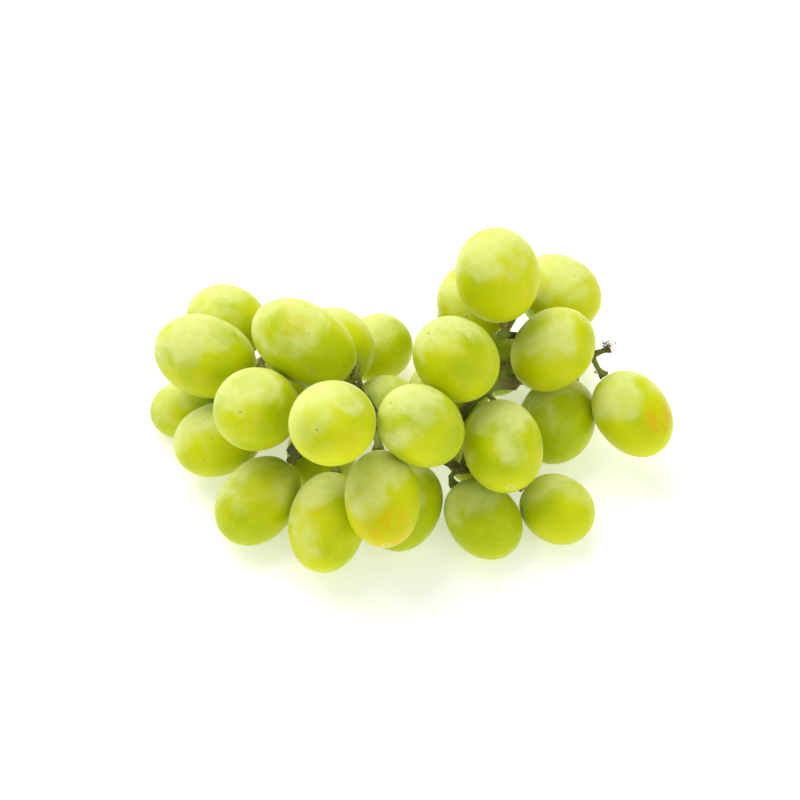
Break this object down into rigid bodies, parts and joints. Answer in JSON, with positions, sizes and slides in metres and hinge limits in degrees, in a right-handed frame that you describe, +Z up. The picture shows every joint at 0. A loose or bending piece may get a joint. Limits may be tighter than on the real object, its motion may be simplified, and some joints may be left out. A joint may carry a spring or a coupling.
{
  "type": "bunch of grapes",
  "caption": "Bunch of large green seedless grapes on a branched stalk, lying on a flat surface: two loose lobes, one cut end and a bare twig.",
  "frame": {"origin": "on the surface the bunch lies on, under the middle of its box", "axes": "+Z up from the surface, +X along the bunch from its full lobe to its loose lobe, +Y from its near side to its far side"},
  "size_m": [0.1462, 0.1114, 0.0672],
  "materials": {
    "grape_skin": "thin translucent skin over juicy flesh, soft sheen with a pale waxy bloom",
    "grape_stalk": "green woody stalk, matt, browning at its nodes and cut ends"
  },
  "bodies": {
    "root": {"berry_01": "grape_skin", "berry_02": "grape_skin", "berry_03": "grape_skin", "berry_04": "grape_skin", "berry_05": "grape_skin", "berry_06": "grape_skin", "berry_07": "grape_skin", "berry_08": "grape_skin", "berry_09": "grape_skin", "berry_10": "grape_skin", "berry_11": "grape_skin", "berry_12": "grape_skin", "berry_13": "grape_skin", "berry_14": "grape_skin", "berry_15": "grape_skin", "berry_16": "grape_skin", "berry_17": "grape_skin", "berry_18": "grape_skin", "berry_19": "grape_skin", "berry_20": "grape_skin", "berry_21": "grape_skin", "berry_22": "grape_skin", "berry_23": "grape_skin", "berry_24": "grape_skin", "berry_25": "grape_skin", "berry_26": "grape_skin", "berry_27": "grape_skin", "berry_28": "grape_skin", "berry_29": "grape_skin", "berry_30": "grape_skin", "berry_31": "grape_skin", "berry_32": "grape_skin", "berry_33": "grape_skin", "berry_34": "grape_skin", "stalk": "grape_stalk"}
  },
  "joints": []
}
